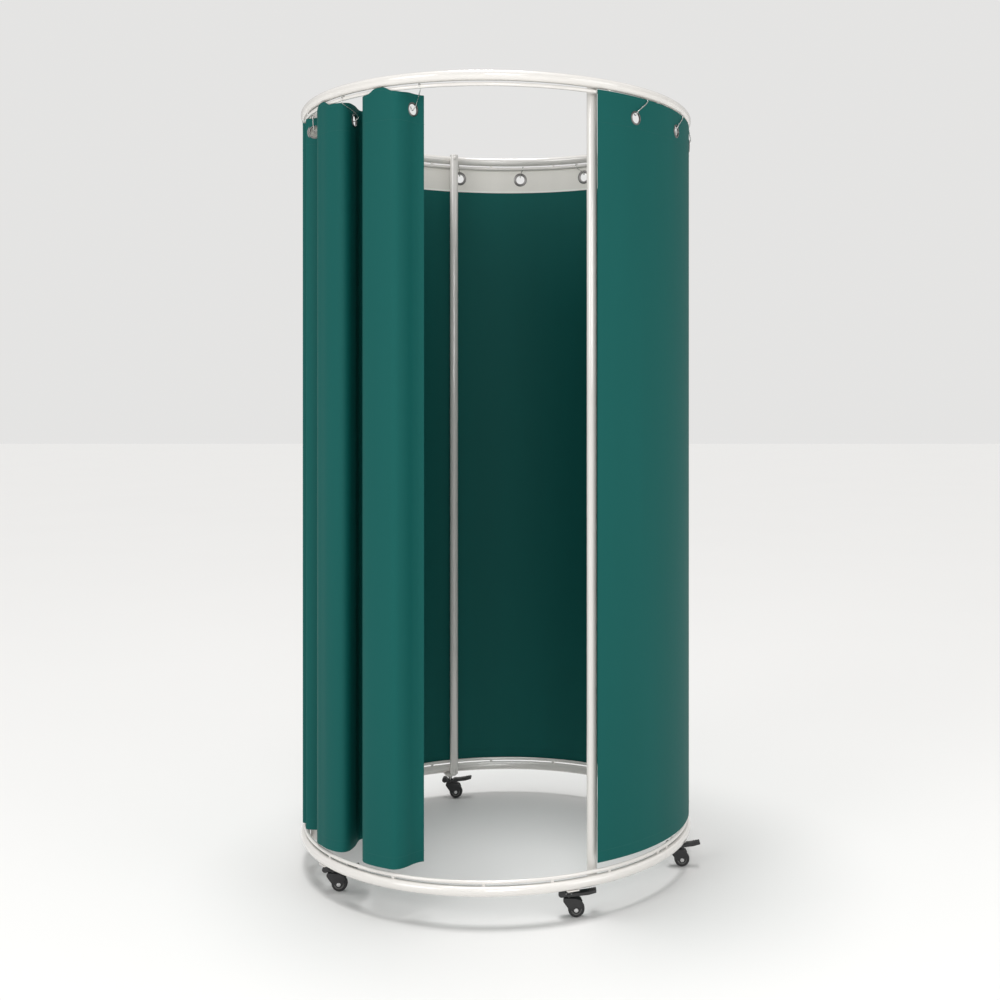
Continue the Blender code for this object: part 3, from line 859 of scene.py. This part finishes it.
# %% [markdown]
# ## Tape, hem and stitches
# A cream tape is sewn inside the head to carry the eyelets, with a bright rolled binding along
# the tape's lower edge. The bottom is turned up in a hem. Both curtains are sewn alike, so one
# function lines either of them. The stitches lie on the outer face, where they would show.

# %% Lining of a curtain
HEM_TURN = 0.030
TAPE_HALF = 0.0003
TAPE_SET = -(CLOTH_HALF + TAPE_HALF + 0.00005)
HEM_SET = -(CLOTH_HALF * 2.0 + 0.00005)
BINDING_HALF = 0.0005
BINDING_WIDTH = 0.0055
STITCH = {"Pitch": 0.0052, "Stitch": 0.0017, "Thread": 0.00034, "Finish": THREAD_GREEN}


def rows_between(low, high, step):
    return np.linspace(low, high, max(2, int(round((high - low) / step)) + 1))


def drop_rows(top):
    """Rows from hem to head, close together where the cloth is sewn."""
    return np.concatenate([rows_between(HEM, HEM + HEM_TURN, 0.010),
                           rows_between(HEM + HEM_TURN, TAPE_LOW, 0.045)[1:],
                           rows_between(TAPE_LOW, top, 0.012)[1:]])


def lining(names, run, top, plugs, start_u=0.0):
    """The header tape, its binding and the hem, each along the same run of cloth."""
    tape = woven_sheet(names[0], *run, rows_between(TAPE_LOW + 0.004, top - 0.001, 0.012),
                       TAPE_SET, TAPE_HALF, TAPE, plugs, start_u)
    binding = woven_sheet(names[1], *run, np.array([TAPE_LOW, TAPE_LOW + BINDING_WIDTH]),
                          TAPE_SET - 0.0006, BINDING_HALF, BINDING, (), start_u)
    hem = woven_sheet(names[2], *run, np.array([HEM + 0.0005, HEM + HEM_TURN * 0.5, HEM + HEM_TURN]),
                      HEM_SET, CLOTH_HALF, CLOTH, (), start_u)
    return [tape, binding, hem]


def seam_lines(name, path, normals, hang, top):
    """Stitch rows on the outer face: hem, tape bottom and tape top."""
    lines = path + normals * (CLOTH_HALF + 0.0001)
    made = []
    for label, z in (("hem", HEM + HEM_TURN - 0.003), ("tape", TAPE_LOW + 0.0028), ("head", top - 0.006)):
        row = [(x, y, level) for (x, y), level in zip(lines, hung(z, hang))]
        made.append(grown(f"{name}_{label}", sewer, runs(name, [row]), STITCH))
    return made


print("tape", round((CLOTH_TOP - TAPE_LOW) * 1000.0, 1), "mm wide, hem", HEM_TURN * 1000.0)

# %% [markdown]
# ## The taut curtain
# One sheet runs from the front right post round the back to the front left post, and hangs on
# eleven hooks. It leans a little, as cloth on a rail does: toward the back its hem sags and its
# eyelets sit higher. The tape, binding and hem stop two columns short of its cut ends.

# %% Taut curtain
FIXED_EYELETS = (43.7, 64.6, 86.5, 108.5, 130.6, 152.7, 175.8, 196.9, 218.0, 239.0, 260.0)
HOLE = 0.0140
LEAN_FROM = 8.0
fixed_normals = normals_of(fixed_path)
fixed_lean = np.cos(np.radians(fixed_angles - LEAN_FROM))
fixed_hang = (0.0118 * fixed_lean - 0.004, np.full(len(fixed_path), 0.0053))
fixed_spots = [(polar(CLOTH_R, t, EYELET_Z - 0.0078 * math.cos(math.radians(t - LEAN_FROM))), t)
               for t in FIXED_EYELETS]
fixed_plugs = [hole_cutter(fixed_spots, HOLE)]
taut = woven_sheet("taut_curtain", fixed_path, fixed_normals, fixed_hang, drop_rows(CLOTH_TOP), 0.0,
                   CLOTH_HALF, CLOTH, fixed_plugs)
inner = (fixed_path[2:-2], fixed_normals[2:-2], (fixed_hang[0][2:-2], fixed_hang[1][2:-2]))
taut_extras = lining(("taut_header_tape", "taut_tape_binding", "taut_hem"), inner, CLOTH_TOP, fixed_plugs)
taut_extras += seam_lines("taut_stitches", fixed_path, fixed_normals, fixed_hang, CLOTH_TOP)
for piece in (taut, *taut_extras):
    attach(piece, "frame")
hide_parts(*[f"curtain_fixed_{i}" for i in range(1, 6)])
print("taut curtain", round(run_length(fixed_path), 3), "m wide, faces", len(taut.data.polygons))

# %% [markdown]
# ## The doorway curtain
# The doorway curtain is one sheet too, but its folds open as it is drawn. It is cut at the
# three hook lines. The first three lengths stay fixed where they hang, and the last flap simply
# goes with the leading hook. The head stands up beside the rail and only dips where the cloth
# passes under it.

# %% Where the doorway hooks sit
hook_seats = {}
for letter, point in HOOK_POINTS.items():
    k = point * SPLINE_STEPS
    direction = plan[k + 1] - plan[k - 1]
    facing = Vector((direction.y, -direction.x, 0.0)).normalized()
    turn = math.degrees(math.atan2(facing.x, -facing.y))
    hook_seats[letter] = (Vector((plan[k].x, plan[k].y, EYELET_Z)), turn)
    print("eyelet", letter, "at", FOLD_PLAN[point])

# %% How the head rises beside the rail
RAIL_OUTSIDE = 0.5204
RAIL_INSIDE = 0.5085
OUTER_RISE = 0.0115
INNER_RISE = 0.0025


def eased(value):
    t = np.clip(value, 0.0, 1.0)
    return t * t * (3.0 - 2.0 * t)


def spread_from(blocked, path, reach=0.030):
    """0 where the rail is in the way, easing up to 1 at the reach along the cloth."""
    along = distance_along(path)
    return eased(np.abs(along[:, None] - along[blocked][None, :]).min(axis=1) / reach)


whole_way = np.concatenate([door_paths[0]] + [p[1:] for p in door_paths[1:]])
from_axis = np.linalg.norm(whole_way, axis=1)
head_rise = (OUTER_RISE * spread_from(from_axis <= RAIL_OUTSIDE, whole_way)
             + INNER_RISE * spread_from(from_axis >= RAIL_INSIDE, whole_way))
print("head rises up to", round(float(head_rise.max()) * 1000.0, 1), "mm")

# %% Doorway curtain
DOOR_BODIES = (("frame", "curtain_c"), ("curtain_c", "curtain_b"), ("curtain_b", "curtain_a"),
               ("curtain_a", None))
DOOR_NODES = ("curtain_door_root", "curtain_door_c", "curtain_door_b", "curtain_door_a")
door_plugs = [hole_cutter(list(hook_seats.values()), HOLE)]
run_first = 0
run_start = 0.0
for number, (path, bodies, node) in enumerate(zip(door_paths, DOOR_BODIES, DOOR_NODES), 1):
    ends = [np.array(plan[min(k + 1, len(plan) - 1)][:2]) - np.array(plan[max(k - 1, 0)][:2])
            for k in stops[number - 1:number + 1]]
    hang = (np.zeros(len(path)), head_rise[run_first:run_first + len(path)])
    run = (path, normals_of(path, ends), hang)
    name = f"doorway_curtain_{number}"
    sheet = woven_sheet(name, *run, drop_rows(DOOR_TOP), 0.0, CLOTH_HALF, CLOTH, door_plugs, run_start)
    names = [f"{name}_{part}" for part in ("tape", "binding", "hem")]
    extras = lining(names, run, DOOR_TOP, door_plugs, run_start)
    extras += seam_lines(name + "_stitches", *run, DOOR_TOP)
    for piece in (sheet, *extras):
        if bodies[1]:
            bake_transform(piece)
        else:
            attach(piece, bodies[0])
    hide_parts(node)
    run_first += len(path) - 1
    run_start += run_length(path)
    print(name, round(run_length(path), 3), "m wide, faces", len(sheet.data.polygons))

# %% [markdown]
# ## Eyelets
# An eyelet is pressed from two nickel parts that grip the cloth between them: a neat rolled
# rim outside and a wider washer inside. Its profile is turned once and set at every hole.

# %% Eyelets
eyelet_profile = [(0.0132, -0.0018), (0.0135, -0.0023), (0.0142, -0.0025), (0.0158, -0.0021),
                  (0.0170, -0.0012), (0.0172, -0.0005), (0.0139, -0.0005), (0.0139, 0.0012),
                  (0.0208, 0.0012), (0.0206, 0.0017), (0.0192, 0.0023), (0.0165, 0.0027),
                  (0.0142, 0.0026), (0.0135, 0.0022), (0.0132, 0.0016)]
ring_mesh = turned("eyelet", eyelet_profile, 36, closed_loop=True)
ring_mesh.transform(Matrix.Rotation(math.radians(-90.0), 4, "X"))
eyelet = finished("eyelet", ring_mesh, NICKEL, angle=60.0)
fixed_eyelets = copies("taut_eyelets", eyelet, fixed_spots, NICKEL)
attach(fixed_eyelets, "frame")
for letter, seat in hook_seats.items():
    piece = copies(f"doorway_eyelet_{letter}", eyelet, [seat], NICKEL)
    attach(piece, f"curtain_{letter}")
put_away(eyelet)
print("eyelets", len(fixed_spots) + len(hook_seats))

# %% [markdown]
# ## Hooks
# Each hook of the taut curtain is a closed loop of 2.4 mm wire: over the rail and the head of
# the cloth, down the outside, in through the eyelet and back up the inside. No two hang quite
# straight. The three doorway hooks are open at the bottom, and reach inward to the folds. The
# middle one comes down outside its fold, the others inside.

# %% Bending wire
WIRE_R = 0.0012
WIRE_STEPS = 4
RAIL_BEND = 0.0065
UP = Vector((0.0, 0.0, 1.0))


def rail_bend(t, angles):
    """Points over the rail, from its outer side at 0 degrees to its inner side at 180."""
    turns = [math.radians(degrees) for degrees in angles]
    centre = polar(RING, t, RAIL_Z)
    out = polar(1.0, t)
    return [centre + out * (math.cos(a) * RAIL_BEND) + UP * (math.sin(a) * RAIL_BEND) for a in turns]


def between(t, start, end, first, last):
    """The point or value that lies at t, when first is at start and last is at end."""
    return (end - t) / (end - start) * first + (t - start) / (end - start) * last


def flowing(points, loop):
    """A smooth wire through the points, which doesn't overshoot where they are far apart."""
    pts = [np.array(p, float) for p in points]
    n = len(pts)
    path = []
    spans = n if loop else n - 1
    for i in range(spans):
        p1, p2 = pts[i], pts[(i + 1) % n]
        p0 = pts[(i - 1) % n] if loop or i > 0 else 2 * p1 - p2
        p3 = pts[(i + 2) % n] if loop or i + 2 < n else 2 * p2 - p1
        t0 = 0.0
        t1 = max(np.linalg.norm(p1 - p0), 1e-9) ** 0.5
        t2 = t1 + max(np.linalg.norm(p2 - p1), 1e-9) ** 0.5
        t3 = t2 + max(np.linalg.norm(p3 - p2), 1e-9) ** 0.5
        for j in range(WIRE_STEPS):
            t = t1 + (t2 - t1) * j / WIRE_STEPS
            a1 = between(t, t0, t1, p0, p1)
            a2 = between(t, t1, t2, p1, p2)
            a3 = between(t, t2, t3, p2, p3)
            path.append(between(t, t1, t2, between(t, t0, t2, a1, a2), between(t, t1, t3, a2, a3)))
    if not loop:
        path.append(pts[-1])
    return path


print("wire", WIRE_R * 2000.0, "mm thick")

# %% Hooks of the taut curtain
LEANS = (4.6, 5.2, 2.0, -1.5, 1.8, 2.5, -1.0, 0.6, -2.2, 1.6, -1.8)
OVER_RAIL = ((-0.0068, -0.004), (-0.0068, 0.0), (-0.0054, 0.0048), (-0.0015, 0.0066),
             (0.0030, 0.0066), (0.0068, 0.0062), (0.0091, 0.0040), (0.0093, -0.001))
UNDER_EYELET = ((0.0052, 0.013), (0.0036, 0.0092), (0.0, 0.0070), (-0.0042, 0.0092), (-0.0056, 0.014))
loops = []
for (eye_at, t), lean in zip(fixed_spots, LEANS):
    out = polar(1.0, t)
    over = polar(1.0, t + lean)
    points = [over * (RING + aside) + UP * (RAIL_Z + rise) for aside, rise in OVER_RAIL]
    points += [eye_at + out * aside + UP * rise for aside, rise in UNDER_EYELET]
    loops.append(flowing(points, True))
fixed_hooks = grown("taut_hooks", wire, runs("taut_hooks", loops, True),
                    {"Wire Radius": WIRE_R, "Sides": 10, "Finish": WIRE})
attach(fixed_hooks, "frame")
print("taut hooks", len(loops))

# %% Hooks of the doorway curtain
OUTER_HOOK = "b"
BEND_ANGLES = (-25.0, 0.0, 30.0, 60.0, 90.0, 120.0, 150.0, 180.0, 200.0)
THROUGH_EYELET = ((0.0115, 0.0090), (0.0058, 0.0020), (0.0, -0.0018), (-0.0050, 0.0010),
                  (-0.0066, 0.0080))
DOOR_HOOKS = {"c": -65.3, "b": -43.2, "a": -17.2}
for letter, t in DOOR_HOOKS.items():
    eye_at, turn = hook_seats[letter]
    facing = polar(1.0, turn)
    points = rail_bend(t, BEND_ANGLES)
    if letter == OUTER_HOOK:
        points = points[::-1] + [polar(RING + 0.0063, t, RAIL_Z - 0.009)]
    elif facing.dot(polar(RING, t) - Vector((eye_at.x, eye_at.y, 0.0))) < 0.0:
        facing = -facing
    points += [eye_at + facing * aside + UP * rise for aside, rise in THROUGH_EYELET]
    hook = grown(f"doorway_hook_{letter}", wire, runs("hook", [flowing(points, False)]),
                 {"Wire Radius": WIRE_R, "Sides": 12, "Finish": WIRE})
    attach(hook, f"curtain_{letter}")
    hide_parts(f"curtain_hook_{letter}")
print("doorway hooks", len(DOOR_HOOKS))

# %% [markdown]
# ## Casters
# Each caster has a stem clamped to a tab under the ring, a moulded fork that trails to one
# side, a rubber wheel on a plain axle, and a rocking brake lever with a knob at the back and
# a ribbed tread at the front. One of each is shaped at the stem's or the wheel's own centre,
# and a copy goes to each of the six places.

# %% Tab, stem and nut
shapes = {}
TAB_TOP = 0.0722
TAB_THICK = 0.003
tab_outline = ((-0.015, -0.0300), (0.015, -0.0300), (0.015, 0.0100), (0.012, 0.0130),
               (-0.012, 0.0130), (-0.015, 0.0100))
tab_sides = [(i, (i + 1) % 6, 6 + (i + 1) % 6, 6 + i) for i in range(6)]
tab_mesh = mesh_of("tab", [(x, y, z) for z in (TAB_TOP - TAB_THICK, TAB_TOP) for x, y in tab_outline],
                   [tuple(range(6)), tuple(range(6, 12))] + tab_sides)
shapes["tab"] = finished("tab", tab_mesh, POWDER, 0.0006)
stem_profile = ((0.0, 0.0436), (0.0034, 0.0436), (0.0040, 0.0442), (0.0040, 0.0480), (0.0050, 0.0483),
                (0.0050, 0.0640), (0.0062, 0.0642), (0.0062, 0.0648), (0.0, 0.0648))
shapes["stem"] = finished("stem", turned("stem", stem_profile, 28), ZINC, angle=40.0)
nut_profile = ((0.0, 0.0649), (0.0068, 0.0649), (0.0072, 0.0654), (0.0072, 0.0688), (0.0068, 0.0691),
               (0.0, 0.0691))
shapes["nut"] = finished("nut", turned("nut", nut_profile, 6), ZINC, 0.0003)
print("tab at", TAB_TOP, "shapes", *shapes)

# %% Fork
TRAIL = 0.018
HUB_Z = 0.020


def knob(centre_x, centre_z, radius, start, end, steps):
    """Points round part of a circle in an outline."""
    turns = [math.radians(a) for a in np.linspace(start, end, steps)]
    return [(centre_x + radius * math.cos(a), centre_z + radius * math.sin(a)) for a in turns]


fork_outline = [(-0.0125, 0.0395), (-0.0065, 0.0310), (0.0005, 0.0215),
                *knob(TRAIL, HUB_Z, 0.0085, 200.0, 340.0, 9), (0.0305, 0.0240), (0.0330, 0.0330),
                (0.0290, 0.0420), (0.0180, 0.0470), (-0.0110, 0.0474), (-0.0130, 0.0440)]
slot = block("slot", (-0.03, 0.06), (-0.0096, 0.0096), (-0.01, 0.0425))
pin_bore = turned("pin_bore", ((0.0044, 0.035), (0.0044, 0.056)), 28)
axle_bore = across(turned("axle_bore", ((0.0034, -0.03), (0.0034, 0.03)), 24))
axle_bore.transform(Matrix.Translation((TRAIL, 0.0, HUB_Z)))
shapes["fork"] = finished("fork", pushed("fork", fork_outline, 0.0130), NYLON, 0.0012, 3,
                          [slot, pin_bore, axle_bore])
print("fork faces", len(shapes["fork"].data.polygons))

# %% Tyre, hub and axle
tyre_profile = mirrored([(0.0128, -0.0086), (0.0150, -0.0088), (0.0178, -0.0080), (0.0193, -0.0062),
                         (0.0199, -0.0030), (0.0200, 0.0)])
hub_profile = mirrored([(0.0034, -0.0086), (0.0062, -0.0086), (0.0070, -0.0072), (0.0104, -0.0068),
                        (0.0112, -0.0082), (0.0127, -0.0084)])
axle_profile = mirrored([(0.0, -0.0156), (0.0030, -0.0154), (0.0050, -0.0148), (0.0052, -0.0138),
                         (0.0030, -0.0138)])
tyre_ring = across(turned("tyre", tyre_profile, 56, closed_loop=True))
hub_ring = across(turned("hub", hub_profile, 40, closed_loop=True))
shapes["tyre"] = finished("tyre", tyre_ring, RUBBER, angle=50.0)
shapes["hub"] = finished("hub", hub_ring, HUB, angle=45.0)
shapes["axle"] = finished("axle", across(turned("axle", axle_profile, 32)), AXLE, angle=45.0)
print("wheel radius", max(r for r, _ in tyre_profile))

# %% Brake lever
RIB_FEET = 0.0008
RIB_CREST = 0.0006
pedal_outline = knob(-0.0165, 0.0565, 0.0080, 60.0, 300.0, 13) + [
    (-0.0060, 0.0512), (0.0060, 0.0508), (0.0280, 0.0532), (0.0480, 0.0556), (0.0655, 0.0606),
    (0.0660, 0.0632), (0.0645, 0.0662), (0.0480, 0.0634), (0.0280, 0.0606), (0.0120, 0.0598),
    (0.0060, 0.0560), (-0.0060, 0.0558)]
opening = block("opening", (-0.0076, 0.0076), (-0.0076, 0.0076), (0.03, 0.09))
shapes["lever"] = finished("lever", pushed("lever", pedal_outline, 0.0118), PEDAL_NYLON, 0.0010, 2,
                           [opening])
ribs = []
for x, z in ((0.0500, 0.0640), (0.0545, 0.0647), (0.0590, 0.0654), (0.0628, 0.0660)):
    rib_outline = ((x - RIB_FEET, z - 0.001), (x + RIB_FEET, z - 0.001),
                   (x + RIB_CREST, z + 0.0012), (x - RIB_CREST, z + 0.0012))
    ribs.append(pushed("rib", rib_outline, 0.0100))
print("caster shapes", *shapes, "and", len(ribs), "ribs")

# %% [markdown]
# The same shapes go to all six stems. The stem and its nut are joined as one piece, and so are
# the lever and its ribs. Every piece keeps its place in its points, at the origin.

# %% Place the casters
CASTERS = {"front_right": 23.7, "right": 75.7, "back_right": 137.0,
           "back_left": 201.1, "left": 255.0, "front_left": 306.4}
CASTER_CIRCLE = 0.492
AT_HUB = ("axle", "tyre", "hub")
CASTER_PARTS = (
    ("tab", POWDER, "frame", "powder_coat", "mount"),
    ("stem", ZINC, "frame", "zinc", None),
    ("fork", NYLON, "swivel", "black_plastic", "fork"),
    ("axle", AXLE, "swivel", "axle_steel", "axle"),
    ("tyre", RUBBER, "rolling_wheel", "wheel_rubber", "wheel"),
    ("hub", HUB, "rolling_wheel", "black_plastic", None),
    ("lever", PEDAL_NYLON, "brake", "pedal_plastic", "pedal"),
)
moulds = {part: [shape.data] for part, shape in shapes.items()}
moulds["stem"].append(shapes["nut"].data)
moulds["lever"] += ribs


def placed(name, sources, shift, turn, finish):
    """Copies of one or more meshes, moved and joined as one piece."""
    solid = bmesh.new()
    for source in sources:
        solid.from_mesh(source)
    matrix = Matrix.Translation(shift) @ Matrix.Rotation(math.radians(turn), 4, "Z")
    bmesh.ops.transform(solid, matrix=matrix, verts=solid.verts)
    mesh = bpy.data.meshes.new(name)
    solid.to_mesh(mesh)
    solid.free()
    mesh.materials.clear()
    mesh.materials.append(finish)
    obj = bpy.data.objects.new(name, mesh)
    scene.collection.objects.link(obj)
    mesh.shade_smooth()
    mesh.set_sharp_from_angle(angle=math.radians(35.0))
    return obj


for label, t in CASTERS.items():
    stem_at = polar(CASTER_CIRCLE, t)
    hub_at = stem_at + Vector((TRAIL, 0.0, HUB_Z))
    for part, finish, moves, slot_name, node in CASTER_PARTS:
        fixed = moves == "frame"
        piece = placed(f"{label}_caster_{part}", moulds[part], hub_at if part in AT_HUB else stem_at,
                       t if fixed else 0.0, finish)
        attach(piece, "frame" if fixed else f"caster_{label}_{moves}")
        if node:
            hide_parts(f"caster_{label}_{node}")
for shape in shapes.values():
    put_away(shape)
print("casters", len(CASTERS), "of", len(CASTER_PARTS), "pieces each")
